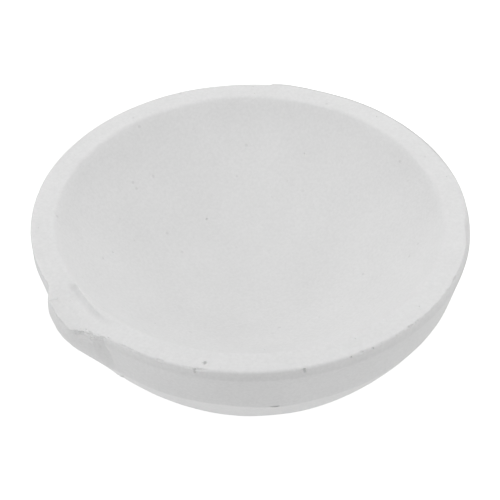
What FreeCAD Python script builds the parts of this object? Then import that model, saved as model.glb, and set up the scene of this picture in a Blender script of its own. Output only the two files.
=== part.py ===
import FreeCAD
import Part
import math
import os

# A shallow melting dish of unglazed fired clay, with one pouring lip. Millimetres.
#
# The dish stands on its foot at z = 0, with Z up through the middle of the bowl.
# The pouring lip points along +X.
# Outside, from the top: a flat ground rim, a short upright collar, a band that
# tapers inwards, a crease, and then a rounded lower bowl down to a flat foot.
# Inside, the bowl is a cap of a sphere.

# Driving dimensions
RIM_RADIUS = 40.0            # outer radius of the ground rim
RIM_WIDTH = 4.5              # width of the ground rim, inner edge to outer edge
HEIGHT = 27.0                # foot to rim
BASE_THICKNESS = 8.0         # clay left under the deepest point of the bowl
COLLAR_HEIGHT = 2.0          # upright strip under the rim
CREASE_DROP = 9.6            # rim down to the crease
BAND_TAPER = 12.0            # degrees from upright, collar to crease
BOWL_START_ANGLE = 27.3      # degrees from upright, just under the crease
BOWL_ARC_RADIUS = 56.0       # radius of the rounded lower bowl, seen in section
RIM_OUTER_ROUND = 0.35
RIM_INNER_ROUND = 0.5
FOOT_ROUND = 1.0

LIP_REACH = 42.4             # how far the lip stands out from the dish's axis
LIP_HALF_ANGLE = 13.5        # degrees each side of +X where the lip meets the rim
LIP_TOP_DROP = 0.4           # rim down to the top of the lip's pad
LIP_SHOULDER_DROP = 1.8      # rim down to where the pad is at its full reach
LIP_WAIST_DROP = 4.0         # rim down to where the pad starts to draw in
LIP_FLANK_DROP = 7.6         # rim down to a point half way down the pad's flank
LIP_FLANK_SETBACK = 1.3      # how far the pad has drawn in at that point
LIP_FOOT_DROP = 10.8         # rim down to where the pad runs out into the wall
LIP_FOOT_SETBACK = 4.6

TROUGH_RADIUS = 22.0         # the lip's channel is part of a cylinder
TROUGH_DROP_INSIDE = 0.2     # rim down to the channel, at the bowl's edge
TROUGH_DROP_OUTSIDE = 1.7    # rim down to the channel, at the end of the lip
TROUGH_LENGTH = 28.0         # the cut runs on past both ends of the channel

# Worked out from them
BOWL_MOUTH_RADIUS = RIM_RADIUS - RIM_WIDTH
BOWL_DEPTH = HEIGHT - BASE_THICKNESS
SPHERE_RADIUS = (BOWL_MOUTH_RADIUS ** 2 + BOWL_DEPTH ** 2) / (2 * BOWL_DEPTH)
SPHERE_HEIGHT = BASE_THICKNESS + SPHERE_RADIUS
COLLAR_Z = HEIGHT - COLLAR_HEIGHT
CREASE_Z = HEIGHT - CREASE_DROP
CREASE_RADIUS = RIM_RADIUS - (COLLAR_Z - CREASE_Z) * math.tan(math.radians(BAND_TAPER))
ARC_CENTRE_R = CREASE_RADIUS - BOWL_ARC_RADIUS * math.cos(math.radians(BOWL_START_ANGLE))
ARC_CENTRE_Z = CREASE_Z + BOWL_ARC_RADIUS * math.sin(math.radians(BOWL_START_ANGLE))
FOOT_RADIUS = ARC_CENTRE_R + math.sqrt(BOWL_ARC_RADIUS ** 2 - ARC_CENTRE_Z ** 2)

SAME_SIZE = 0.01             # two lengths closer than this are taken as equal
UP = FreeCAD.Vector(0, 0, 1)
ORIGIN = FreeCAD.Vector(0, 0, 0)


def section_point(radius, height):
    """A point of a profile, in the XZ half plane that is turned about Z."""
    return FreeCAD.Vector(radius, 0, height)


def line(start, end):
    return Part.LineSegment(start, end).toShape()


def arc(start, middle, end):
    return Part.Arc(start, middle, end).toShape()


def turned(edges, axis_point=ORIGIN):
    """The solid that a closed profile sweeps in one full turn about an upright axis."""
    return Part.Face(Part.Wire(edges)).revolve(axis_point, UP, 360)


def round_circle(solid, radius, height, fillet):
    """Round the circular edge that has this radius and this height."""
    chosen = []
    for edge in solid.Edges:
        if edge.Degenerated or not isinstance(edge.Curve, Part.Circle):
            continue
        same_radius = abs(edge.Curve.Radius - radius) < SAME_SIZE
        same_height = abs(edge.Curve.Center.z - height) < SAME_SIZE
        if same_radius and same_height:
            chosen.append(edge)
    return solid.makeFillet(fillet, chosen)


def lower_bowl_radius(height):
    """Outer radius of the rounded lower bowl at a height."""
    return ARC_CENTRE_R + math.sqrt(BOWL_ARC_RADIUS ** 2 - (ARC_CENTRE_Z - height) ** 2)


def outer_form():
    """The dish as if it were solid clay: its whole outside, not hollowed."""
    foot_centre = section_point(0, 0)
    foot_edge = section_point(FOOT_RADIUS, 0)
    bowl_middle = section_point(lower_bowl_radius(CREASE_Z / 2), CREASE_Z / 2)
    crease = section_point(CREASE_RADIUS, CREASE_Z)
    collar = section_point(RIM_RADIUS, COLLAR_Z)
    rim_edge = section_point(RIM_RADIUS, HEIGHT)
    rim_centre = section_point(0, HEIGHT)
    return turned([
        line(foot_centre, foot_edge),
        arc(foot_edge, bowl_middle, crease),
        line(crease, collar),
        line(collar, rim_edge),
        line(rim_edge, rim_centre),
        line(rim_centre, foot_centre),
    ])


def trough():
    """The lip's channel: a long cylinder that slopes down and outwards over the rim."""
    run = LIP_REACH - BOWL_MOUTH_RADIUS
    fall = TROUGH_DROP_OUTSIDE - TROUGH_DROP_INSIDE
    direction = FreeCAD.Vector(run, 0, -fall)
    direction.normalize()
    upwards = FreeCAD.Vector(-direction.z, 0, direction.x)
    floor_start = section_point(BOWL_MOUTH_RADIUS, HEIGHT - TROUGH_DROP_INSIDE)
    axis_start = floor_start + upwards * TROUGH_RADIUS
    return Part.makeCylinder(TROUGH_RADIUS, TROUGH_LENGTH, axis_start - direction * run, direction)


def dish_body():
    sphere = Part.makeSphere(SPHERE_RADIUS, section_point(0, SPHERE_HEIGHT))
    dish = outer_form().cut(sphere)
    dish = round_circle(dish, RIM_RADIUS, HEIGHT, RIM_OUTER_ROUND)
    dish = round_circle(dish, BOWL_MOUTH_RADIUS, HEIGHT, RIM_INNER_ROUND)
    dish = round_circle(dish, FOOT_RADIUS, 0, FOOT_ROUND)
    return dish.cut(trough())


def pouring_lip():
    """A rounded pad on the wall: a turned form, standing on its own upright axis."""
    half_angle = math.radians(LIP_HALF_ANGLE)
    half_width = RIM_RADIUS * math.sin(half_angle)
    stand_out = LIP_REACH - RIM_RADIUS * math.cos(half_angle)
    pad_radius = (half_width ** 2 + stand_out ** 2) / (2 * stand_out)
    axis_x = LIP_REACH - pad_radius

    def pad_point(setback, drop):
        return section_point(LIP_REACH - setback, HEIGHT - drop)

    shoulder_depth = LIP_SHOULDER_DROP - LIP_TOP_DROP
    round_part = 1 - math.cos(math.radians(45))
    top_centre = section_point(axis_x, HEIGHT - LIP_TOP_DROP)
    top_edge = pad_point(shoulder_depth, LIP_TOP_DROP)
    shoulder_middle = pad_point(shoulder_depth * round_part, LIP_TOP_DROP + shoulder_depth * round_part)
    shoulder = pad_point(0, LIP_SHOULDER_DROP)
    waist = pad_point(0, LIP_WAIST_DROP)
    flank = pad_point(LIP_FLANK_SETBACK, LIP_FLANK_DROP)
    foot_edge = pad_point(LIP_FOOT_SETBACK, LIP_FOOT_DROP)
    foot_centre = section_point(axis_x, HEIGHT - LIP_FOOT_DROP)
    pad = turned([
        line(top_centre, top_edge),
        arc(top_edge, shoulder_middle, shoulder),
        line(shoulder, waist),
        arc(waist, flank, foot_edge),
        line(foot_edge, foot_centre),
        line(foot_centre, top_centre),
    ], section_point(axis_x, 0))
    return pad.cut(outer_form()).cut(trough())


def write_step(name, shape):
    solids = shape.Solids
    if len(solids) != 1 or not shape.isValid():
        raise RuntimeError(f"{name} is not one valid solid")
    solids[0].exportStep(f"parts/{name}.step")
    box = solids[0].optimalBoundingBox(True, False)
    print(f"{name}: {solids[0].Volume:.0f} mm3, x {box.XMin:.2f} to {box.XMax:.2f}, "
          f"y {box.YMin:.2f} to {box.YMax:.2f}, z {box.ZMin:.2f} to {box.ZMax:.2f}")


os.makedirs("parts", exist_ok=True)
write_step("dish_body", dish_body())
write_step("pouring_lip", pouring_lip())
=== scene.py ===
import math

import bmesh
import bpy
import numpy as np
from mathutils import Matrix, Vector, kdtree, noise


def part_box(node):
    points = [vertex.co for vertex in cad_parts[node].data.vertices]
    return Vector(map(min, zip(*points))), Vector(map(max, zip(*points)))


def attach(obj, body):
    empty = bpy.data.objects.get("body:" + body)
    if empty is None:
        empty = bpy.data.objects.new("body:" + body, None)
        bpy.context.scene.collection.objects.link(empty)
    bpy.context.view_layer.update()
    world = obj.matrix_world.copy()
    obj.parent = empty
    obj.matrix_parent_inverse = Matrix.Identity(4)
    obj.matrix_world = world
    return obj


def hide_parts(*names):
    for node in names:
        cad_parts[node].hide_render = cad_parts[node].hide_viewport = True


# A shallow ceramic melting dish with one pouring lip, on a pale floor.
# The dish's lengths are in millimetres until its meshes are finished, and the floor's,
# the lamps' and the camera's are in metres. Angles round the dish are in degrees from
# +X, where the pouring lip is, anticlockwise from above.

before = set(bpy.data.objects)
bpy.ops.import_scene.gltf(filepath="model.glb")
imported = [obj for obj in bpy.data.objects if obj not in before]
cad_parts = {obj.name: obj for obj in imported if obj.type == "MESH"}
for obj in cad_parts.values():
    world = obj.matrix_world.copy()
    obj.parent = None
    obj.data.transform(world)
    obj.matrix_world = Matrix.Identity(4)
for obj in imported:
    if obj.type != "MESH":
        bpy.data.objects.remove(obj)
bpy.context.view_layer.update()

MM = 0.001
body_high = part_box("dish_body")[1]
lip_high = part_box("pouring_lip")[1]

# Sizes taken from the frame
RIM_RADIUS = body_high.y / MM
HEIGHT = body_high.z / MM
LIP_REACH = lip_high.x / MM

# The dish's plain form, close to the frame's
MOUTH_RADIUS = 35.5
BASE_THICKNESS = 8.0
COLLAR_HEIGHT = 2.0
CREASE_RADIUS = 38.45
CREASE_DROP = 9.66
BOWL_START_ANGLE = math.radians(27.3)    # from upright, just under the crease
BOWL_ARC_RADIUS = 56.0                   # the lower bowl, seen in section
INNER_ROUND = 0.55                       # the rim's inner edge
FOOT_ROUND = 1.0                         # how high the foot's rounded edge starts
FOOT_CORNER_IN = 0.8                     # in from there to the corner that is rounded
FOOT_FLAT_IN = 2.2                       # and to where the foot is flat
BOWL_DEPTH = HEIGHT - BASE_THICKNESS
SPHERE_RADIUS = (MOUTH_RADIUS ** 2 + BOWL_DEPTH ** 2) / (2 * BOWL_DEPTH)
MOUTH_ANGLE = math.asin(MOUTH_RADIUS / SPHERE_RADIUS)

# How the fired dish strays from that form
HEAVY_SIDE = 138.0           # the side where the collar is fullest and the crease lowest
COLLAR_FULLNESS = 0.12
COLLAR_LEAN = 0.2
CREASE_LEAN = 0.58
BAND_SLOPE = 0.21            # how much the band draws in, for each mm down
SAG_TURN = math.radians(4.7)     # how much further the lower bowl turns in, for each mm of sag
SAG_FLATTENING = 30.0        # and how much its arc's radius grows
EDGE_ROUND = 0.3             # how far the wear on the rim's outer edge reaches, where it is least
RIM_STEP = 221.5             # where the rim steps from its full side to its worn side

# Stretches: where they start and end, and over how many degrees each end fades
FULL_SIDE = (136, RIM_STEP, 10, 1)
WORN_SIDE = (RIM_STEP, 292, 1, 20)
FRONT = (22, 112, 14, 20)
# The same with a size in mm first
RIM_STRETCHES = ((0.2, *FULL_SIDE), (-0.2, *WORN_SIDE), (0.22, *FRONT))
EDGE_STRETCHES = ((0.5, 132, RIM_STEP, 20, 1), (0.35, 20, 84, 12, 20))
COLLAR_STRETCHES = ((0.2, *FRONT),)
SAG_STRETCHES = ((0.5, 20, 92, 14, 30),)
# Swells: size in mm, middle and half width in degrees
RIM_SWELLS = ((0.12, 190, 9), (-0.35, 133, 6), (0.12, 328, 12))
STEP_SWELLS = ((0.35, 217, 7),)      # on the full side only, up to the step
MOUTH_SWELLS = ((-0.12, 165, 22), (0.2, 230, 10), (0.12, 316, 12))
COLLAR_SWELLS = ((0.22, 336, 10), (0.12, 128, 17), (0.12, 143, 6))
SAG_SWELLS = ((0.55, 55, 9),)


# ---------------------------------------------------------------- shapes round the dish

def angle_from(azimuth, centre):
    """Signed difference in degrees, from -180 to 180."""
    return (azimuth - centre + 180) % 360 - 180


def swell(azimuth, centre, half_width):
    """A smooth hump, 1 at centre and near 0 past twice the half width."""
    return np.exp(-(angle_from(azimuth, centre) / half_width) ** 2)


def ease(t):
    """Smooth step from 0 to 1."""
    t = np.clip(t, 0, 1)
    return t * t * (3 - 2 * t)


def between(azimuth, start, end, soft_start, soft_end):
    """1 from start to end, easing in and out over these many degrees."""
    middle = (start + end) / 2
    half = (end - start) / 2
    along = angle_from(azimuth, middle)
    return ease((along + half) / soft_start + 0.5) * ease((half - along) / soft_end + 0.5)


def uneven(azimuth, stretches=(), swells=()):
    """The sum of some stretches and swells that have their size first."""
    total = sum(size * between(azimuth, *stretch) for size, *stretch in stretches)
    return total + sum(size * swell(azimuth, *where) for size, *where in swells)


def heaviness(azimuth):
    """1 on the heavy side and -1 on the side across from it."""
    return np.cos(np.radians(azimuth - HEAVY_SIDE))


def rim_outer(azimuth):
    by_step = between(azimuth, *FULL_SIDE) * uneven(azimuth, swells=STEP_SWELLS)
    return RIM_RADIUS + uneven(azimuth, RIM_STRETCHES, RIM_SWELLS) + by_step


def rim_inner(azimuth):
    return MOUTH_RADIUS + uneven(azimuth, swells=MOUTH_SWELLS)


def edge_round(azimuth):
    """How far the wear on the rim's outer edge reaches."""
    return EDGE_ROUND + uneven(azimuth, EDGE_STRETCHES)


def collar_radius(azimuth):
    lean = COLLAR_LEAN * heaviness(azimuth)
    return RIM_RADIUS + COLLAR_FULLNESS + lean + uneven(azimuth, COLLAR_STRETCHES, COLLAR_SWELLS)


def crease_sag(azimuth):
    """How far the crease hangs below its level, at the dish's front."""
    return uneven(azimuth, SAG_STRETCHES, SAG_SWELLS)


def crease_height(azimuth):
    return HEIGHT - CREASE_DROP - CREASE_LEAN * heaviness(azimuth) - crease_sag(azimuth)


def crease_radius(azimuth):
    return CREASE_RADIUS - BAND_SLOPE * crease_sag(azimuth)


def wall_radius(azimuth, height):
    """Outer radius of the collar and of the band, whose line runs on below the crease."""
    collar_z = HEIGHT - COLLAR_HEIGHT
    crease_z = crease_height(azimuth)
    share = np.clip((collar_z - height) / (collar_z - crease_z), 0, 2)
    return collar_radius(azimuth) + (crease_radius(azimuth) - collar_radius(azimuth)) * share


def place(azimuth, radius, height):
    """Points at these angles, radii and heights."""
    turn = np.radians(azimuth)
    return np.stack(np.broadcast_arrays(radius * np.cos(turn), radius * np.sin(turn), height), axis=-1)


# ---------------------------------------------------------------- the rim's dip at the lip

LIP_START = -15.6
LIP_END = 11.8
LIP_FALL = 1.2               # how far the top falls away towards the lip's outer edge
LIP_FALL_START = 1.0         # from the bowl's edge out to where it starts to fall
LIP_FALL_RUN = 5.0           # and on from there to where it has fallen that far
LIP_FALL_LIMIT = 1.4         # in such runs, where it falls no further
LIP_FALL_CURVE = 1.3
LIP_FALL_SPREAD = 1.5        # how fast the fall dies away towards the lip's two ends

GROOVE_START = -11.5         # the groove runs along the bowl's edge from here
GROOVE_END = 4.8
GROOVE_FADES = (1.8, 9.0)    # degrees over which it starts and dies away
GROOVE_DEPTH = 0.67
GROOVE_GAP = 0.1             # from the bowl's edge to the groove, where it starts
GROOVE_DRIFT = 1.2           # how much further out it is at its end
GROOVE_WIDTH = 0.9           # its steep inner side, where it starts
GROOVE_NARROWING = 0.2       # and how much narrower that is at its end
GROOVE_STEEPNESS = 2.2
GROOVE_RISE = 0.7            # width of its gentle outer side, where it starts
GROOVE_WIDENING = 1.1        # how much wider that soon gets
GROOVE_WIDENED = 0.3         # share of its length over which it does
GROOVE_LEFT = 0.45           # share of its depth that is left beyond it, at its end


def lip_share(azimuth):
    """-1 at the lip's first end, 0 in its middle and 1 at its other end."""
    middle = (LIP_START + LIP_END) / 2
    half = (LIP_END - LIP_START) / 2
    return angle_from(azimuth, middle) / half


def groove_dip(azimuth, radius):
    """How deep the groove is, from 0 to 1."""
    along = np.clip(angle_from(azimuth, GROOVE_START) / (GROOVE_END - GROOVE_START), 0, 1)
    from_edge = radius - (rim_inner(azimuth) + GROOVE_GAP + GROOVE_DRIFT * along)
    width = GROOVE_WIDTH - GROOVE_NARROWING * along
    rise = GROOVE_RISE + GROOVE_WIDENING * ease(along / GROOVE_WIDENED)
    down = 1 - (1 - np.clip(from_edge / width, 0, 1)) ** GROOVE_STEEPNESS
    up = (1 - GROOVE_LEFT * along) * ease((from_edge - width) / rise)
    return between(azimuth, GROOVE_START, GROOVE_END, *GROOVE_FADES) * down * (1 - up)


def lip_drop(azimuth, radius):
    """How far the top of the rim lies below its level, at the groove and towards the lip."""
    spread = np.clip(1 - lip_share(azimuth) ** 2, 0, 1) ** LIP_FALL_SPREAD
    out = (radius - rim_inner(azimuth) - LIP_FALL_START) / LIP_FALL_RUN
    fall = np.clip(out, 0, LIP_FALL_LIMIT) ** LIP_FALL_CURVE
    return GROOVE_DEPTH * groove_dip(azimuth, radius) + LIP_FALL * spread * fall


# ---------------------------------------------------------------- dish profile, part by part
# Each gives the radius and height of the surface at t, from 0 to 1 along that part.

def bend(start, corner, end, t):
    """A rounded corner."""
    return tuple((1 - t) ** 2 * a + 2 * t * (1 - t) * b + t ** 2 * c
                 for a, b, c in zip(start, corner, end))


def bowl(azimuth, t):
    polar = (MOUTH_ANGLE - INNER_ROUND / SPHERE_RADIUS) * t
    stretch = 1 + (rim_inner(azimuth) / MOUTH_RADIUS - 1) * t ** 3
    return SPHERE_RADIUS * np.sin(polar) * stretch, BASE_THICKNESS + SPHERE_RADIUS * (1 - np.cos(polar))


def inner_edge(azimuth, t):
    inner = rim_inner(azimuth)
    return bend(bowl(azimuth, 1.0), (inner, HEIGHT), (inner + INNER_ROUND, HEIGHT), t)


def rim_top(azimuth, t):
    first = rim_inner(azimuth) + INNER_ROUND
    last = rim_outer(azimuth) - edge_round(azimuth)
    return first + (last - first) * t, HEIGHT


def outer_edge(azimuth, t):
    outer = rim_outer(azimuth)
    reach = edge_round(azimuth)
    return bend((outer - reach, HEIGHT), (outer, HEIGHT), (outer, HEIGHT - reach), t)


def collar(azimuth, t):
    top = HEIGHT - edge_round(azimuth)
    height = top + (HEIGHT - COLLAR_HEIGHT - top) * t
    return rim_outer(azimuth) + (collar_radius(azimuth) - rim_outer(azimuth)) * ease(t), height


def band(azimuth, t):
    top = HEIGHT - COLLAR_HEIGHT
    height = top + (crease_height(azimuth) - top) * t
    return wall_radius(azimuth, height), height


def lower_bowl(azimuth, t):
    start_angle = BOWL_START_ANGLE + SAG_TURN * crease_sag(azimuth)
    arc = BOWL_ARC_RADIUS + SAG_FLATTENING * crease_sag(azimuth)
    centre_r = crease_radius(azimuth) - arc * np.cos(start_angle)
    centre_z = crease_height(azimuth) + arc * np.sin(start_angle)
    last_angle = np.arcsin((centre_z - FOOT_ROUND) / arc)
    angle = start_angle + (last_angle - start_angle) * t
    return centre_r + arc * np.cos(angle), centre_z - arc * np.sin(angle)


def foot_edge(azimuth, t):
    start = lower_bowl(azimuth, 1.0)
    return bend(start, (start[0] - FOOT_CORNER_IN, 0), (start[0] - FOOT_FLAT_IN, 0), t)


def foot(azimuth, t):
    return foot_edge(azimuth, 1.0)[0] * (1 - t), 0


# part, points round the dish, rows along the part
DISH_ROWS = (
    (bowl, 32, np.linspace(0.02, 0.05, 3)),
    (bowl, 64, np.linspace(0.065, 0.11, 4)),
    (bowl, 128, np.linspace(0.125, 0.215, 7)),
    (bowl, 256, np.linspace(0.23, 0.49, 20)),
    (bowl, 512, np.linspace(0.505, 0.99, 28)),
    (bowl, 512, [1.0]),
    (inner_edge, 512, np.linspace(0, 1, 6)[1:]),
    (rim_top, 512, np.linspace(0.07, 0.63, 9)),
    (rim_top, 1024, np.linspace(0.7, 1, 5)),
    (outer_edge, 1024, np.linspace(0, 1, 6)[1:]),
    (collar, 1024, np.linspace(0, 1, 8)[1:]),
    (band, 512, np.linspace(0.03, 0.97, 14)),
    (band, 512, [1.0]),
    (lower_bowl, 512, [0.012, 0.035]),
    (lower_bowl, 256, np.linspace(0.07, 0.97, 24)),
    (lower_bowl, 256, [1.0]),
    (foot_edge, 256, np.linspace(0, 1, 6)[1:]),
    (foot, 128, np.linspace(0.06, 0.4, 6)),
    (foot, 64, np.linspace(0.46, 0.72, 4)),
    (foot, 32, np.linspace(0.78, 0.95, 3)),
)
TOP_PARTS = (inner_edge, rim_top, outer_edge, collar)


def surface(part, azimuth, t):
    """Points of the dish's surface at t along one part."""
    radius, height = part(azimuth, t)
    if part in TOP_PARTS:
        height = height - lip_drop(azimuth, np.minimum(radius, RIM_RADIUS))
    return place(azimuth, radius, height)


def dish_rings():
    """The dish's surface as rings, from the bowl's middle out, over the rim and down to the foot."""
    return [surface(part, np.arange(count) * 360.0 / count, t)
            for part, count, steps in DISH_ROWS for t in steps]


def bridge(first, second):
    """Faces between two rings of point numbers, where one may have twice as many points as the other."""
    n, m = len(first), len(second)
    faces = []
    if n == m:
        for i in range(n):
            j = (i + 1) % n
            faces.append((first[i], second[i], second[j], first[j]))
    elif n == 2 * m:
        for i in range(m):
            a, b, c = first[2 * i], first[2 * i + 1], first[(2 * i + 2) % n]
            p, q = second[i], second[(i + 1) % m]
            faces += [(a, p, b), (b, p, q), (b, q, c)]
    else:
        for i in range(n):
            a, b = first[i], first[(i + 1) % n]
            p, q, r = second[2 * i], second[2 * i + 1], second[(2 * i + 2) % m]
            faces += [(a, p, q), (a, q, b), (b, q, r)]
    return faces


def fan(middle, ring):
    """Triangles from a ring of point numbers to the point in its middle."""
    return [(middle, a, b) for a, b in zip(ring, ring[1:] + ring[:1])]


def mesh_from(name, points, faces):
    mesh = bpy.data.meshes.new(name)
    mesh.from_pydata([tuple(p) for p in points], [], faces)
    mesh.validate()
    mesh.update()
    return mesh


def dish_mesh():
    rings = dish_rings()
    numbers = []
    total = 1
    for ring in rings:
        numbers.append(list(range(total, total + len(ring))))
        total += len(ring)
    points = np.concatenate([[[0, 0, BASE_THICKNESS]], *rings, [[0, 0, 0]]])
    faces = fan(0, numbers[0])
    for ring, following in zip(numbers, numbers[1:]):
        faces += bridge(ring, following)
    faces += [(a, middle, b) for middle, a, b in fan(total, numbers[-1])]
    return mesh_from("dish_body_mesh", points, faces)


# ---------------------------------------------------------------- pouring lip's mesh

LIP_COLUMNS = 220
LIP_TOP_ROWS = 16
LIP_SHOULDER_ROWS = 38
LIP_FLANK_ROWS = 32
LIP_BACK_ROWS = 8
LIP_OVERRUN = 0.2            # degrees of mesh past each end of the lip

LIP_BULGE = 2.45             # how far the lip stands out, at most
LIP_RISE_ANGLE = 9.6         # the bulge grows to its full size over these many degrees
LIP_SINK_ANGLE = 10.3        # and dies away over these
BULGE_POWER = 3              # how sharply its slopes meet
LIP_SETBACK = 0.2            # in from the rim to the lip's side, where there is no bulge
LIP_CORNER = (0.45, LIP_START + 4, 3.5)      # the swell that makes its first end squarer

LIP_WIDEST = 3.7             # below the rim
LIP_FOOT_DEPTH = 10.8        # below the rim, where the lip has run out into the wall
LIP_FOOT_SINK = 0.3          # how far inside the wall it ends there
LIP_TUCK = 1.45              # how late its side draws in, on the way down
LIP_MERGE = 5.0              # its side runs into the wall over its last few degrees
LIP_MERGE_SINK = 0.08        # and ends this far inside it

LIP_TOP_SETBACK = 0.35       # in from the rim to the end of the lip's pale top, but for its swells
LIP_TOP_SWELLS = ((1.6, -10, 3.6), (1.4, -5.5, 3), (2.2, -0.5, 3.6), (0.75, 6.5, 4))
LIP_LAP = 0.9                # how far the lip's top laps back over the rim
LIP_STAND = 0.03             # how far its top stands above the rim's
LIP_DIVE = 0.12              # how far that falls at its inner edge, to hide the edge
LIP_DIVE_RUN = 0.5
LIP_TIP = 0.985              # share of the way to each end where the lip dips into the dish
LIP_TIP_RUN = 0.03
LIP_TIP_DIP = 0.4
LIP_TIP_DRAW = 0.25          # how far its side draws in there

# The shoulder is a cubic curve from the edge of the top to the widest part
SHOULDER_LEAD = 0.5          # how far out it sets off, as a share of its run
SHOULDER_LEAD_LOSS = 0.38    # how much less far that is, away from the lip's first end
SHOULDER_CHANGE = -8.0       # where that change starts
SHOULDER_CHANGE_RUN = 6.0
SHOULDER_DIP = 0.2           # how far down it sets off, as a share of its fall
SHOULDER_RISE = 0.45         # and how far up it arrives from

BACK_DEPTH = 1.4             # the lip's hidden back, in from its foot
BACK_TOP_IN = 0.2            # and in from its inner edge
BACK_TOP_DOWN = 0.8          # and down from it


def lip_bulge(azimuth):
    """How far the lip stands out of the wall at its widest."""
    tiny = 1e-3
    rise = np.maximum((azimuth - LIP_START) / LIP_RISE_ANGLE, tiny)
    sink = np.maximum((LIP_END - azimuth) / LIP_SINK_ANGLE, tiny)
    return LIP_BULGE * (rise ** -BULGE_POWER + sink ** -BULGE_POWER) ** (-1 / BULGE_POWER)


def lip_outer(azimuth):
    """Radius of the lip where it stands out furthest."""
    return RIM_RADIUS - LIP_SETBACK + lip_bulge(azimuth) + uneven(azimuth, swells=(LIP_CORNER,))


def lip_side(azimuth, height):
    """Outer radius of the lip at a height, from its widest part down to its foot."""
    down = np.clip((HEIGHT - LIP_WIDEST - height) / (LIP_FOOT_DEPTH - LIP_WIDEST), 0, 1)
    foot_radius = wall_radius(azimuth, HEIGHT - LIP_FOOT_DEPTH) - LIP_FOOT_SINK
    side = lip_outer(azimuth) + (foot_radius - lip_outer(azimuth)) * down ** LIP_TUCK
    wall = wall_radius(azimuth, height) - LIP_MERGE_SINK
    return wall + (side - wall) * ease((LIP_END - azimuth) / LIP_MERGE)


def lip_top_radius(azimuth):
    """Where the lip's pale top ends and its side begins."""
    return RIM_RADIUS - LIP_TOP_SETBACK + uneven(azimuth, swells=LIP_TOP_SWELLS)


def cubic(start, first, second, end, t):
    """Points of a cubic curve."""
    weights = ((1 - t) ** 3, 3 * t * (1 - t) ** 2, 3 * t ** 2 * (1 - t), t ** 3)
    return tuple(sum(w * p[k] for w, p in zip(weights, (start, first, second, end))) for k in (0, 1))


def lip_sections(azimuth):
    """The closed section through the lip at each azimuth: arrays of radius and of height."""
    azimuth = np.asarray(azimuth, float).reshape(-1, 1)
    past_tip = ease((abs(lip_share(azimuth)) - LIP_TIP) / LIP_TIP_RUN)
    start_r = RIM_RADIUS - LIP_LAP

    def top_of(radius):
        stand = LIP_STAND - LIP_DIVE * (1 - ease((radius - start_r) / LIP_DIVE_RUN))
        return HEIGHT - lip_drop(azimuth, radius) + stand - LIP_TIP_DIP * past_tip

    turn_r = lip_top_radius(azimuth)
    turn_z = top_of(turn_r)
    top_r = start_r + (turn_r - start_r) * np.linspace(0, 1, LIP_TOP_ROWS)

    side_z = HEIGHT - LIP_WIDEST
    side_r = lip_side(azimuth, side_z)
    over = np.maximum(side_r - turn_r, 0.0)
    fall = turn_z - side_z
    lead = SHOULDER_LEAD - SHOULDER_LEAD_LOSS * ease((azimuth - SHOULDER_CHANGE) / SHOULDER_CHANGE_RUN)
    set_off = (turn_r + lead * over, turn_z - SHOULDER_DIP * fall)
    arrive = (side_r, side_z + SHOULDER_RISE * fall)
    shoulder_r, shoulder_z = cubic((turn_r, turn_z), set_off, arrive, (side_r, side_z),
                                   np.linspace(0, 1, LIP_SHOULDER_ROWS)[1:])

    foot_z = HEIGHT - LIP_FOOT_DEPTH
    flank_z = side_z + (foot_z - side_z) * np.linspace(0, 1, LIP_FLANK_ROWS)[1:]
    flank_r = lip_side(azimuth, flank_z)
    flank_z = np.broadcast_to(flank_z, flank_r.shape)

    back = np.linspace(0, 1, LIP_BACK_ROWS)[1:-1]
    back_start = flank_r[:, -1:] - BACK_DEPTH
    back_r = back_start + (start_r - BACK_TOP_IN - back_start) * back
    back_z = foot_z + (top_of(start_r) - BACK_TOP_DOWN - foot_z) * back

    radius = np.concatenate([top_r, shoulder_r, flank_r], axis=1) - LIP_TIP_DRAW * past_tip
    height = np.concatenate([top_of(top_r), shoulder_z, flank_z], axis=1)
    return np.concatenate([radius, back_r], axis=1), np.concatenate([height, back_z], axis=1)


def lip_mesh():
    azimuth = np.linspace(LIP_START - LIP_OVERRUN, LIP_END + LIP_OVERRUN, LIP_COLUMNS)
    radius, height = lip_sections(azimuth)
    size = radius.shape[1]
    points = place(azimuth[:, None], radius, height).reshape(-1, 3).tolist()
    faces = []
    for column in range(LIP_COLUMNS - 1):
        a, b = column * size, (column + 1) * size
        for i in range(size):
            j = (i + 1) % size
            faces.append((a + i, a + j, b + j, b + i))
    for column, reverse in ((0, True), (LIP_COLUMNS - 1, False)):
        corners = [column * size + i for i in range(size)]
        middle = len(points)
        points.append(tuple(np.mean([points[c] for c in corners], axis=0)))
        for a, b in zip(corners, corners[1:] + corners[:1]):
            faces.append((b, a, middle) if reverse else (a, b, middle))
    return mesh_from("pouring_lip_mesh", points, faces)


# ---------------------------------------------------------------- wear: waviness, chips and pits

WAVE_SHIFT = (17.3, 5.1, 9.7)    # how far apart two waves of different seeds start
HAND_WAVES = ((0.07, 14.0, 1), (0.025, 3.5, 2), (0.008, 1.1, 5))     # size, length, seed
TOUCHING = 1e-6              # a point nearer than this to a ball's middle has no way out
SHADE_DEPTH = 0.06            # painted shade in a bite starts at this depth
SHADE_RUN = 0.25              # and is at its darkest this much deeper
PIT_RAISE = 0.12             # how far a pit's ball is above the surface, as a share of its size

EDGE_SEED = 11
# Wear all along the rim's outer edge: from, to, how many, smallest and largest size
EDGE_WEAR = (
    (12, 130, 260, 0.16, 0.5),
    (130, 345, 90, 0.16, 0.34),
)
WEAR_REACH = (0.4, 0.75)     # a ball's distance from the edge, as a share of its size
WEAR_TILT = (0.5, 1.4)       # in radians from upright, the way it is from the edge

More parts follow.
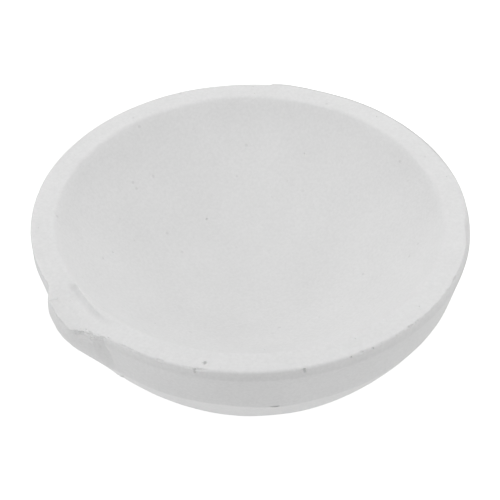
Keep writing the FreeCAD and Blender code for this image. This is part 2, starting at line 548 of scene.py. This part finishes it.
# Chips on the rim's outer edge: angle, spread in degrees, how many, size
CHIPS = (
    (16, 1.0, 16, 0.5),
    (18.5, 0.5, 6, 0.4),
    (24.5, 0.8, 7, 0.6),
    (29, 1.2, 9, 0.4),
    (33, 1.6, 16, 0.55),
    (35.7, 0.5, 9, 0.75),
    (37.5, 1.3, 12, 0.5),
    (41, 0.8, 4, 0.5),
    (59, 0.5, 3, 0.6),
    (64, 0.6, 3, 0.55),
    (76, 0.5, 3, 0.6),
    (88.5, 0.6, 4, 0.45),
)
CHIP_SIZES = (0.6, 1.1)      # share of the chip's size
CHIP_REACH = (0.3, 0.6)
CHIP_TILT = (0.5, 1.3)

PIT_SEED = 7
# Pits that stand out by themselves: part, angle, share of the way along it, size
PITS = (
    (rim_top, 36.5, 0.71, 0.44),
    (bowl, 206, 0.77, 0.24),
    (bowl, 256, 0.45, 0.26),
    (bowl, 210, 0.62, 0.2),
    (bowl, 216, 0.53, 0.2),
    (bowl, 315, 0.67, 0.22),
    (outer_edge, 34.4, 0.7, 0.34),
    (collar, 34.5, 0.1, 0.26),
    (outer_edge, 60.8, 0.75, 0.34),
    (collar, 60.9, 0.12, 0.28),
    (outer_edge, 72.8, 0.7, 0.24),
    (outer_edge, 78.9, 0.7, 0.24),
    (band, 53.0, 0.965, 0.24),
    (band, 53.6, 0.97, 0.32),
    (band, 54.2, 0.97, 0.36),
    (band, 54.8, 0.965, 0.34),
)
# And the many small ones: part, how many, first and last share of the way along it
SCATTERED_PITS = (
    (bowl, 40, 0.2, 0.97),
    (rim_top, 18, 0.05, 0.95),
    (band, 16, 0.05, 0.95),
    (lower_bowl, 30, 0.1, 0.95),
)
SCATTERED_SIZES = (0.08, 0.17)


def read_vectors(mesh, name):
    """A mesh's points, under the name co, or the way it faces at each, under the name normal."""
    values = np.zeros(len(mesh.vertices) * 3)
    mesh.vertices.foreach_get(name, values)
    return values.reshape(-1, 3)


def write_points(mesh, points):
    mesh.vertices.foreach_set("co", np.ascontiguousarray(points).ravel())
    mesh.update()


def wave(points, length, seed):
    """Smooth noise from -1 to 1 whose features are about this long."""
    shift = Vector([seed * step for step in WAVE_SHIFT])
    return np.array([noise.noise(Vector(p) / length + shift) for p in points])


def hand_made(points):
    """How far the surface stands off its drawn form: slow waves and small ones."""
    return sum(size * wave(points, length, seed) for size, length, seed in HAND_WAVES)


def bite(points, centre, size, bite_shade):
    """Scoop a ball out of the surface: points inside it move out to its skin, and the deeper ones get
    painted shade.
    """
    offset = points - centre
    distance = np.linalg.norm(offset, axis=1)
    inside = (distance < size) & (distance > TOUCHING)
    points[inside] = centre + offset[inside] / distance[inside, None] * size
    painted_shade = np.clip((size - distance[inside] - SHADE_DEPTH) / SHADE_RUN, 0, 1)
    bite_shade[inside] = np.maximum(bite_shade[inside], painted_shade)


def split_near(mesh, balls, reach, cuts):
    """Split the faces near these balls, so that a small bite has enough of them."""
    tree = kdtree.KDTree(len(balls))
    for number, (centre, size) in enumerate(balls):
        tree.insert(Vector(centre), number)
    tree.balance()
    shape = bmesh.new()
    shape.from_mesh(mesh)
    chosen = [e for e in shape.edges if tree.find((e.verts[0].co + e.verts[1].co) / 2)[2] < reach]
    bmesh.ops.subdivide_edges(shape, edges=chosen, cuts=cuts, use_grid_fill=True)
    many_sided = [face for face in shape.faces if len(face.verts) > 4]
    bmesh.ops.triangulate(shape, faces=many_sided)
    shape.to_mesh(mesh)
    shape.free()


def outwards(part, azimuth, t):
    """The direction the dish's surface faces at t along one part."""
    step = 0.01
    along = surface(part, azimuth, t + step) - surface(part, azimuth, t - step)
    across = surface(part, azimuth + step, t) - surface(part, azimuth - step, t)
    facing = np.cross(along, across)
    return facing / np.linalg.norm(facing)


def pit(part, azimuth, t, size):
    """A ball that makes a small pit this big."""
    return surface(part, azimuth, t) + outwards(part, azimuth, t) * size * PIT_RAISE, size


def edge_ball(rng, azimuth, size, reaches, tilts):
    """A ball that bites into the rim's outer edge."""
    reach = size * rng.uniform(*reaches)
    tilt = rng.uniform(*tilts)
    radius = rim_outer(azimuth) + reach * math.sin(tilt)
    height = HEIGHT - lip_drop(azimuth, RIM_RADIUS) + reach * math.cos(tilt)
    return place(azimuth, radius, height), size


def edge_bites():
    """Balls that wear and chip the rim's outer edge."""
    rng = np.random.default_rng(EDGE_SEED)
    balls = []
    for start, end, count, low, high in EDGE_WEAR:
        for azimuth in rng.uniform(start, end, count):
            balls.append(edge_ball(rng, azimuth, rng.uniform(low, high), WEAR_REACH, WEAR_TILT))
    for azimuth, spread, count, size in CHIPS:
        for _ in range(count):
            here = azimuth + rng.normal(0, spread)
            balls.append(edge_ball(rng, here, size * rng.uniform(*CHIP_SIZES), CHIP_REACH, CHIP_TILT))
    return balls


def dish_pits():
    rng = np.random.default_rng(PIT_SEED)
    balls = [pit(*row) for row in PITS]
    for part, count, first, last in SCATTERED_PITS:
        for _ in range(count):
            t = math.sqrt(rng.uniform(first ** 2, last ** 2))
            balls.append(pit(part, rng.uniform(0, 360), t, rng.uniform(*SCATTERED_SIZES)))
    return balls


# ---------------------------------------------------------------- painted light and shade on the clay, place by place

# Painted light and shade: how much paler than the rim the clay's colour is made elsewhere, darker where
# the value is below 0
BOWL_PAINTED_SHADE = -0.014
COLLAR_PAINTED_SHADE = -0.042
WALL_PAINTED_SHADE = -0.025
LOWER_BOWL_PAINTED_LIGHT = 0.045
PATCH_PAINTED_LIGHT = 0.02        # painted light on top of the bowl's painted shade, in a patch near its middle
PATCH_X = -4.0
PATCH_Y = -4.5
PATCH_SIZE = 13.0
EDGE_PAINTED_SHADE = -0.16   # painted shade on top of the rim's tone, along its outer edge on its full side
SHADED_EDGE = (160, RIM_STEP, 16, 1)

# Where those tones meet, in mm
UNPAINTED_RIM_DEPTH = 1.92          # the rim's own tone, without painted light or shade, ends this far below the rim
UNPAINTED_RIM_FADE = 1.6
BOWL_SKIN = 1.0              # the outside starts this far from the bowl's own surface
COLLAR_FADE = 0.8
CREASE_FADE = 0.5
SHADED_EDGE_IN = 0.75          # the edge's painted shade starts this far in from the edge
SHADED_EDGE_FADE_IN = 0.3
SHADED_EDGE_DOWN = 0.7         # and ends this far down from it
SHADED_EDGE_FADE_DOWN = 0.5


def below(level, height, fade):
    """1 well below a level and 0 well above it."""
    return ease((level - height) / fade + 0.5)


def painted_light_and_shade(points):
    """Painted light and shade: how much paler or darker than the rim the clay's colour is made at each
    point.
    """
    x, y, height = points.T
    azimuth = np.degrees(np.arctan2(y, x))
    radius = np.hypot(x, y)
    rim_level = HEIGHT - lip_drop(azimuth, np.clip(radius, 0, LIP_REACH))

    # Inside: painted shade in the bowl, with painted light in a patch near its middle
    patch = np.exp(-(np.hypot(x - PATCH_X, y - PATCH_Y) / PATCH_SIZE) ** 2)
    inside_tone = BOWL_PAINTED_SHADE + PATCH_PAINTED_LIGHT * patch
    # Outside: painted shade on the collar and the band, painted light on the lower bowl below the crease
    below_collar = below(HEIGHT - COLLAR_HEIGHT, height, COLLAR_FADE)
    below_crease = below(crease_height(azimuth), height, CREASE_FADE)
    outside_tone = (COLLAR_PAINTED_SHADE + (WALL_PAINTED_SHADE - COLLAR_PAINTED_SHADE) * below_collar
                    + (LOWER_BOWL_PAINTED_LIGHT - WALL_PAINTED_SHADE) * below_crease)

    sphere_centre = np.array([0, 0, BASE_THICKNESS + SPHERE_RADIUS])
    outside = ease(np.linalg.norm(points - sphere_centre, axis=1) - SPHERE_RADIUS - BOWL_SKIN)
    on_rim = ease((height - rim_level + UNPAINTED_RIM_DEPTH) / UNPAINTED_RIM_FADE)
    # Painted shade along the rim's outer edge, on its full side
    near_edge = ease((radius - rim_outer(azimuth) + SHADED_EDGE_IN) / SHADED_EDGE_FADE_IN)
    near_top = ease((height - rim_level + SHADED_EDGE_DOWN) / SHADED_EDGE_FADE_DOWN)
    edge_shade = between(azimuth, *SHADED_EDGE) * near_edge * near_top
    elsewhere = outside * outside_tone + (1 - outside) * inside_tone
    return (1 - on_rim) * elsewhere + EDGE_PAINTED_SHADE * edge_shade


SHARP_ANGLE = math.radians(38)   # edges sharper than this stay crisp


def finish_mesh(mesh, bite_shade):
    # Painted light and shade go on the mesh as attributes: from the bites' depth and part by part
    painted_tones = painted_light_and_shade(read_vectors(mesh, "co"))
    for name, values in (("bite_shade", bite_shade), ("painted_tone", painted_tones)):
        attribute = mesh.attributes.new(name, "FLOAT", "POINT")
        attribute.data.foreach_set("value", values.astype(np.float32))
    mesh.transform(Matrix.Scale(MM, 4))
    mesh.shade_smooth()
    mesh.set_sharp_from_angle(angle=SHARP_ANGLE)


def make_piece(name, mesh, body, node):
    piece = bpy.data.objects.new(name, mesh)
    bpy.context.scene.collection.objects.link(piece)
    piece.data.materials.append(CLAY)
    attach(piece, body)
    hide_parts(node)


# ---------------------------------------------------------------- materials
# Noise comes as scale in 1/m, detail and, for one, roughness. Nearly all of its values
# are in NOISE_RANGE.

NOISE_RANGE = (0.3, 0.7)
CLAY_TONE = 0.82
CLAY_SHINE = 0.25
MOTTLE = (90.0, 3.0)
MOTTLE_STRENGTH = 0.012
FINE_MOTTLE = (1800.0, 2.0)
FINE_STRENGTH = 0.02
SPECK_CELLS = 420.0          # 1/m, one possible speck to a cell
SPECK_EDGE = (0.10, 0.16)    # a speck's edge, as a share of its cell
SPECK_CHOICE = (0.86, 0.9)   # cells whose random value is above this have a speck
SPECK_SHADE = 0.07
CHIP_SHADE_NOISE = (2400.0, 2.0)
CHIP_SHADE_NOISE_RANGE = (0.35, 0.65)
CHIP_SHADE = 0.16            # how dark the painted shade in a bite can be
SHEEN = (600.0, 2.0)
ROUGHNESS = (0.84, 0.95)
FINE_GRAIN = (2600.0, 3.0, 0.6)
COARSE_GRAIN = (900.0, 2.0)
GRAIN_SHARE = 0.5            # of each of the two, in the relief
GRAIN_STRENGTH = 0.35
GRAIN_HEIGHT = 0.00012       # metres


def clay_material():
    """Unglazed fired clay: matte, faintly mottled, with fine grain and sparse specks, and with painted
    light and shade stored on the mesh, part by part and in deep bites.
    """
    material = bpy.data.materials.new("fired_clay")
    material.use_nodes = True
    nodes = material.node_tree.nodes
    links = material.node_tree.links
    shader = nodes["Principled BSDF"]
    shader.inputs["Specular IOR Level"].default_value = CLAY_SHINE
    position = nodes.new("ShaderNodeTexCoord").outputs["Object"]

    def grain(scale, detail, roughness=0.5):
        node = nodes.new("ShaderNodeTexNoise")
        node.inputs["Scale"].default_value = scale
        node.inputs["Detail"].default_value = detail
        node.inputs["Roughness"].default_value = roughness
        links.new(position, node.inputs["Vector"])
        return node.outputs["Fac"]

    def spread(value, low, high, out_low, out_high):
        node = nodes.new("ShaderNodeMapRange")
        node.inputs["From Min"].default_value = low
        node.inputs["From Max"].default_value = high
        node.inputs["To Min"].default_value = out_low
        node.inputs["To Max"].default_value = out_high
        links.new(value, node.inputs["Value"])
        return node.outputs["Result"]

    def calc(operation, first, second):
        node = nodes.new("ShaderNodeMath")
        node.operation = operation
        for socket, value in zip(node.inputs, (first, second)):
            if isinstance(value, (int, float)):
                socket.default_value = value
            else:
                links.new(value, socket)
        return node.outputs["Value"]

    def stored(name):
        node = nodes.new("ShaderNodeAttribute")
        node.attribute_name = name
        return node.outputs["Fac"]

    cells = nodes.new("ShaderNodeTexVoronoi")
    cells.inputs["Scale"].default_value = SPECK_CELLS
    links.new(position, cells.inputs["Vector"])
    dots = spread(cells.outputs["Distance"], *SPECK_EDGE, 1.0, 0.0)
    split = nodes.new("ShaderNodeSeparateColor")
    links.new(cells.outputs["Color"], split.inputs["Color"])
    chosen = spread(split.outputs["Red"], *SPECK_CHOICE, 0.0, 1.0)
    specks = calc("MULTIPLY", dots, chosen)

    mottle = spread(grain(*MOTTLE), *NOISE_RANGE, -MOTTLE_STRENGTH, MOTTLE_STRENGTH)
    fine = spread(grain(*FINE_MOTTLE), *NOISE_RANGE, -FINE_STRENGTH, FINE_STRENGTH)
    tone = calc("ADD", calc("ADD", CLAY_TONE, mottle), fine)
    # Painted light and shade, stored on the mesh part by part
    tone = calc("ADD", tone, stored("painted_tone"))
    tone = calc("SUBTRACT", tone, calc("MULTIPLY", specks, SPECK_SHADE))
    # Painted shade in the deep parts of bites, made uneven by noise
    painted_shade = spread(grain(*CHIP_SHADE_NOISE), *CHIP_SHADE_NOISE_RANGE, 0.0, CHIP_SHADE)
    tone = calc("SUBTRACT", tone, calc("MULTIPLY", stored("bite_shade"), painted_shade))
    combine = nodes.new("ShaderNodeCombineColor")
    for channel in ("Red", "Green", "Blue"):
        links.new(tone, combine.inputs[channel])
    links.new(combine.outputs["Color"], shader.inputs["Base Color"])

    links.new(spread(grain(*SHEEN), *NOISE_RANGE, *ROUGHNESS), shader.inputs["Roughness"])

    fine_relief = calc("MULTIPLY", grain(*FINE_GRAIN), GRAIN_SHARE)
    coarse_relief = calc("MULTIPLY", grain(*COARSE_GRAIN), GRAIN_SHARE)
    relief = calc("SUBTRACT", calc("ADD", fine_relief, coarse_relief), specks)
    bump = nodes.new("ShaderNodeBump")
    bump.inputs["Strength"].default_value = GRAIN_STRENGTH
    bump.inputs["Distance"].default_value = GRAIN_HEIGHT
    links.new(relief, bump.inputs["Height"])
    links.new(bump.outputs["Normal"], shader.inputs["Normal"])
    return material


FLOOR_TONE = 0.5
FLOOR_UNEVENNESS = 0.01
FLOOR_CLOUDS = 6.0           # 1/m
FLOOR_ROUGHNESS = 0.95
FLOOR_SHINE = 0.1
FLOOR_GLOW = 0.395           # the board is lit from below, and lights the dish this much
FLOOR_SEEN_GLOW = 0.74       # how bright that looks to the camera
WHITE = (1, 1, 1, 1)


def floor_material():
    """A pale board that glows softly, very slightly uneven in tone."""
    material = bpy.data.materials.new("pale_floor")
    material.use_nodes = True
    nodes = material.node_tree.nodes
    links = material.node_tree.links
    position = nodes.new("ShaderNodeTexCoord").outputs["Object"]
    clouds = nodes.new("ShaderNodeTexNoise")
    clouds.inputs["Scale"].default_value = FLOOR_CLOUDS
    links.new(position, clouds.inputs["Vector"])
    tone = nodes.new("ShaderNodeMapRange")
    tone.inputs["To Min"].default_value = FLOOR_TONE - FLOOR_UNEVENNESS
    tone.inputs["To Max"].default_value = FLOOR_TONE + FLOOR_UNEVENNESS
    links.new(clouds.outputs["Fac"], tone.inputs["Value"])
    combine = nodes.new("ShaderNodeCombineColor")
    for channel in ("Red", "Green", "Blue"):
        links.new(tone.outputs["Result"], combine.inputs[channel])
    rays = nodes.new("ShaderNodeLightPath")
    mix = nodes.new("ShaderNodeMixShader")
    links.new(rays.outputs["Is Camera Ray"], mix.inputs["Fac"])
    links.new(mix.outputs["Shader"], nodes["Material Output"].inputs["Surface"])
    for slot, glow, shader in ((1, FLOOR_GLOW, nodes["Principled BSDF"]),
                               (2, FLOOR_SEEN_GLOW, nodes.new("ShaderNodeBsdfPrincipled"))):
        shader.inputs["Roughness"].default_value = FLOOR_ROUGHNESS
        shader.inputs["Specular IOR Level"].default_value = FLOOR_SHINE
        shader.inputs["Emission Color"].default_value = WHITE
        shader.inputs["Emission Strength"].default_value = glow
        links.new(combine.outputs["Color"], shader.inputs["Base Color"])
        links.new(shader.outputs["BSDF"], mix.inputs[slot])
    return material


# ---------------------------------------------------------------- floor, lights and camera

FLOOR_RADIUS = 3.0
FLOOR_SIDES = 96
FLOOR_GAP = 0.00005          # keeps the floor from showing through the foot
WORLD_FILL = 0.07            # the room's soft light on the dish
WORLD_SEEN = 1.0             # how bright the room looks to the camera

# name, angle round the dish from the camera, elevation, distance in metres, watts
LIGHTS = (
    ("overhead", 0, 89, 0.5, 0.06),
    ("overhead_right", 135, 79, 0.4, 0.37),
    ("overhead_behind", 180, 72, 0.4, 0.31),
    ("behind", 180, 20, 1.0, 2.0),
    ("behind_right", 135, 20, 1.0, 0.2),
    ("left", 270, 20, 1.0, 1.15),
    ("near_left", 270, 35, 0.5, 0.3),
    ("high_left", 270, 50, 1.0, 0.7),
    ("right", 90, 20, 1.0, 1.45),
    ("near_right", 90, 35, 0.5, 0.15),
    ("high_right", 90, 60, 0.5, 0.12),
    ("front_left", 315, 20, 1.0, 1.95),
    ("front_right", 45, 20, 1.0, 1.6),
)
LIGHT_SPREAD = 0.7           # a lamp's width for each metre it is away

CAMERA_SIDE = 48.0           # the camera stands on this side of the dish
CAMERA_ELEVATION = 41.05
CAMERA_DISTANCE = 8.01       # in rim radii, from the middle of the rim
CAMERA_AIM_DROP = 0.2206     # in rim radii, below the middle of the rim
CAMERA_ROLL = -0.52
CAMERA_LENS = 125.7
CAMERA_SENSOR = 36.0
CAMERA_NEAR = 0.01           # nothing nearer than this is drawn
RIM_MIDDLE = Vector((0, 0, HEIGHT * MM))


def make_floor():
    mesh = bpy.data.meshes.new("floor_mesh")
    shape = bmesh.new()
    bmesh.ops.create_circle(shape, cap_ends=True, segments=FLOOR_SIDES, radius=FLOOR_RADIUS)
    shape.to_mesh(mesh)
    shape.free()
    floor = bpy.data.objects.new("floor", mesh)
    bpy.context.scene.collection.objects.link(floor)
    floor.location.z = -FLOOR_GAP
    floor.data.materials.append(floor_material())


def make_world():
    """The room: the camera sees it white, and the dish gets its soft light."""
    world = bpy.data.worlds.new("studio")
    bpy.context.scene.world = world
    world.use_nodes = True
    nodes = world.node_tree.nodes
    links = world.node_tree.links
    rays = nodes.new("ShaderNodeLightPath")
    mix = nodes.new("ShaderNodeMixShader")
    links.new(rays.outputs["Is Camera Ray"], mix.inputs["Fac"])
    links.new(mix.outputs["Shader"], nodes["World Output"].inputs["Surface"])
    for slot, strength, light in ((1, WORLD_FILL, nodes["Background"]),
                                  (2, WORLD_SEEN, nodes.new("ShaderNodeBackground"))):
        light.inputs["Color"].default_value = WHITE
        light.inputs["Strength"].default_value = strength
        links.new(light.outputs["Background"], mix.inputs[slot])


def direction(side, elevation):
    turn, up = math.radians(side), math.radians(elevation)
    return Vector((math.cos(turn) * math.cos(up), math.sin(turn) * math.cos(up), math.sin(up)))


def make_lights():
    for name, round_angle, elevation, distance, watts in LIGHTS:
        lamp = bpy.data.lights.new(name, "AREA")
        lamp.shape = "DISK"
        lamp.size = LIGHT_SPREAD * distance
        lamp.energy = watts
        holder = bpy.data.objects.new(name, lamp)
        bpy.context.scene.collection.objects.link(holder)
        way = direction(CAMERA_SIDE + round_angle, elevation)
        holder.location = RIM_MIDDLE + way * distance
        holder.rotation_euler = way.to_track_quat("Z", "Y").to_euler()


def make_camera():
    reach = CAMERA_DISTANCE * RIM_RADIUS * MM
    aim = RIM_MIDDLE - Vector((0, 0, CAMERA_AIM_DROP * RIM_RADIUS * MM))
    data = bpy.data.cameras.new("camera")
    data.lens = CAMERA_LENS
    data.sensor_width = CAMERA_SENSOR
    data.clip_start = CAMERA_NEAR
    camera = bpy.data.objects.new("camera", data)
    bpy.context.scene.collection.objects.link(camera)
    camera.location = RIM_MIDDLE + direction(CAMERA_SIDE, CAMERA_ELEVATION) * reach
    look = (aim - camera.location).to_track_quat("-Z", "Y").to_matrix().to_4x4()
    roll = Matrix.Rotation(math.radians(CAMERA_ROLL), 4, "Z")
    camera.matrix_world = Matrix.Translation(camera.location) @ look @ roll
    bpy.context.scene.camera = camera


# ---------------------------------------------------------------- build the dish

CLAY = clay_material()
SPLIT_REACH = 0.5            # faces are split this near to a bite's middle
PIT_SPLIT_REACH = 0.28       # and once more this near to a pit's
FLAT_FOOT = 2.0              # the waviness dies away over this height above the foot


def roughen(mesh, waviness, balls):
    """Move the surface along its normals by the waviness, then bite the balls out of it."""
    points = read_vectors(mesh, "co")
    points = points + read_vectors(mesh, "normal") * waviness(points)[:, None]
    # How much painted shade each point gets from the bites
    bite_shade = np.zeros(len(points))
    for centre, size in balls:
        bite(points, centre, size, bite_shade)
    write_points(mesh, points)
    finish_mesh(mesh, bite_shade)


def dish_waviness(points):
    return hand_made(points) * np.clip(points[:, 2] / FLAT_FOOT, 0, 1)


def build_dish():
    mesh = dish_mesh()
    pits = dish_pits()
    chips = edge_bites()
    split_near(mesh, chips, SPLIT_REACH, cuts=1)
    split_near(mesh, pits, SPLIT_REACH, cuts=2)
    split_near(mesh, pits, PIT_SPLIT_REACH, cuts=2)
    roughen(mesh, dish_waviness, chips + pits)
    make_piece("dish_body_clay", mesh, "root", "dish_body")


# ---------------------------------------------------------------- build the lip

LIP_SEED = 5
# Bites along the edge of the lip's top, from the last rows of the top on to the shoulder
CRUMBS = 240
CRUMBLED = (1.0, 11.5)       # where the edge has crumbled
CRUMBLED_ROWS = (LIP_TOP_ROWS - 4, LIP_TOP_ROWS + 14)
CRUMB_SIZES = (0.12, 0.28)
CRUMB_REACH = (0.5, 0.85)    # a ball's distance from the surface, as a share of its size
CRUMB_SLANT = 0.7            # share of that which is upwards, and which is outwards
WORN_BITES = 50
WORN = (-9.0, 0.0)           # where the edge is lightly worn
WORN_ROWS = (LIP_TOP_ROWS - 3, LIP_TOP_ROWS + 8)
WORN_SIZES = (0.12, 0.22)
WORN_REACH = 0.5             # how far up and how far out a ball is, as a share of its size
NICK_START = -10.4           # a nick runs in from the lip's edge, from this angle to the next
NICK_END = -9.4
NICK_BALLS = 9
NICK_SIZE = 0.3
NICK_RAISE = 0.14
NICK_SETBACK = 0.9           # in from the lip's furthest reach, where it starts
NICK_LENGTH = 1.8

# Waviness of the part that stands out of the dish, on top of the dish's own
LIP_WAVE = (0.05, 1.6, 4)    # size, length, seed
CRUMBLY_WAVE = (0.12, 0.4, 6)
CRUMBLED_FADES = (3.0, 2.0)
CRUMBLED_DEPTH = 4.0         # below the rim, where the crumbly part ends
CRUMBLED_FADE = 1.5
STAND_OUT_IN = 0.3           # in from the rim, where the lip starts to stand out
STAND_OUT_FADE = 0.8


def off_lip(azimuth, row, away):
    """A point this far up and this far out from the lip's surface, at one row of its mesh."""
    radii, heights = lip_sections(azimuth)
    return place(azimuth, radii[0, row] + away, heights[0, row] + away)


def lip_bites():
    """Balls that crumble and wear the edge of the lip's top, and one nick."""
    rng = np.random.default_rng(LIP_SEED)
    balls = []
    for _ in range(CRUMBS):
        azimuth = rng.uniform(*CRUMBLED)
        row = int(rng.uniform(*CRUMBLED_ROWS))
        size = rng.uniform(*CRUMB_SIZES)
        reach = size * rng.uniform(*CRUMB_REACH)
        balls.append((off_lip(azimuth, row, reach * CRUMB_SLANT), size))
    for _ in range(WORN_BITES):
        azimuth = rng.uniform(*WORN)
        row = int(rng.uniform(*WORN_ROWS))
        size = rng.uniform(*WORN_SIZES)
        balls.append((off_lip(azimuth, row, size * WORN_REACH), size))
    for share in np.linspace(0, 1, NICK_BALLS):
        azimuth = NICK_START + (NICK_END - NICK_START) * share
        radius = LIP_REACH - NICK_SETBACK - NICK_LENGTH * share
        height = HEIGHT - lip_drop(azimuth, radius) + NICK_RAISE
        balls.append((place(azimuth, radius, height), NICK_SIZE))
    return balls


def lip_waviness(points):
    x, y, height = points.T
    stand_out = ease((np.hypot(x, y) - RIM_RADIUS + STAND_OUT_IN) / STAND_OUT_FADE)
    crumbly = (between(np.degrees(np.arctan2(y, x)), *CRUMBLED, *CRUMBLED_FADES)
               * ease((height - HEIGHT + CRUMBLED_DEPTH) / CRUMBLED_FADE))
    slow, slow_length, slow_seed = LIP_WAVE
    quick, quick_length, quick_seed = CRUMBLY_WAVE
    extra = (slow * wave(points, slow_length, slow_seed)
             + quick * crumbly * wave(points, quick_length, quick_seed))
    return hand_made(points) + extra * stand_out


def build_lip():
    mesh = lip_mesh()
    roughen(mesh, lip_waviness, lip_bites())
    make_piece("pouring_lip_clay", mesh, "root", "pouring_lip")


build_dish()
build_lip()
make_floor()
make_world()
make_lights()
make_camera()
bpy.context.scene.view_settings.view_transform = "Standard"
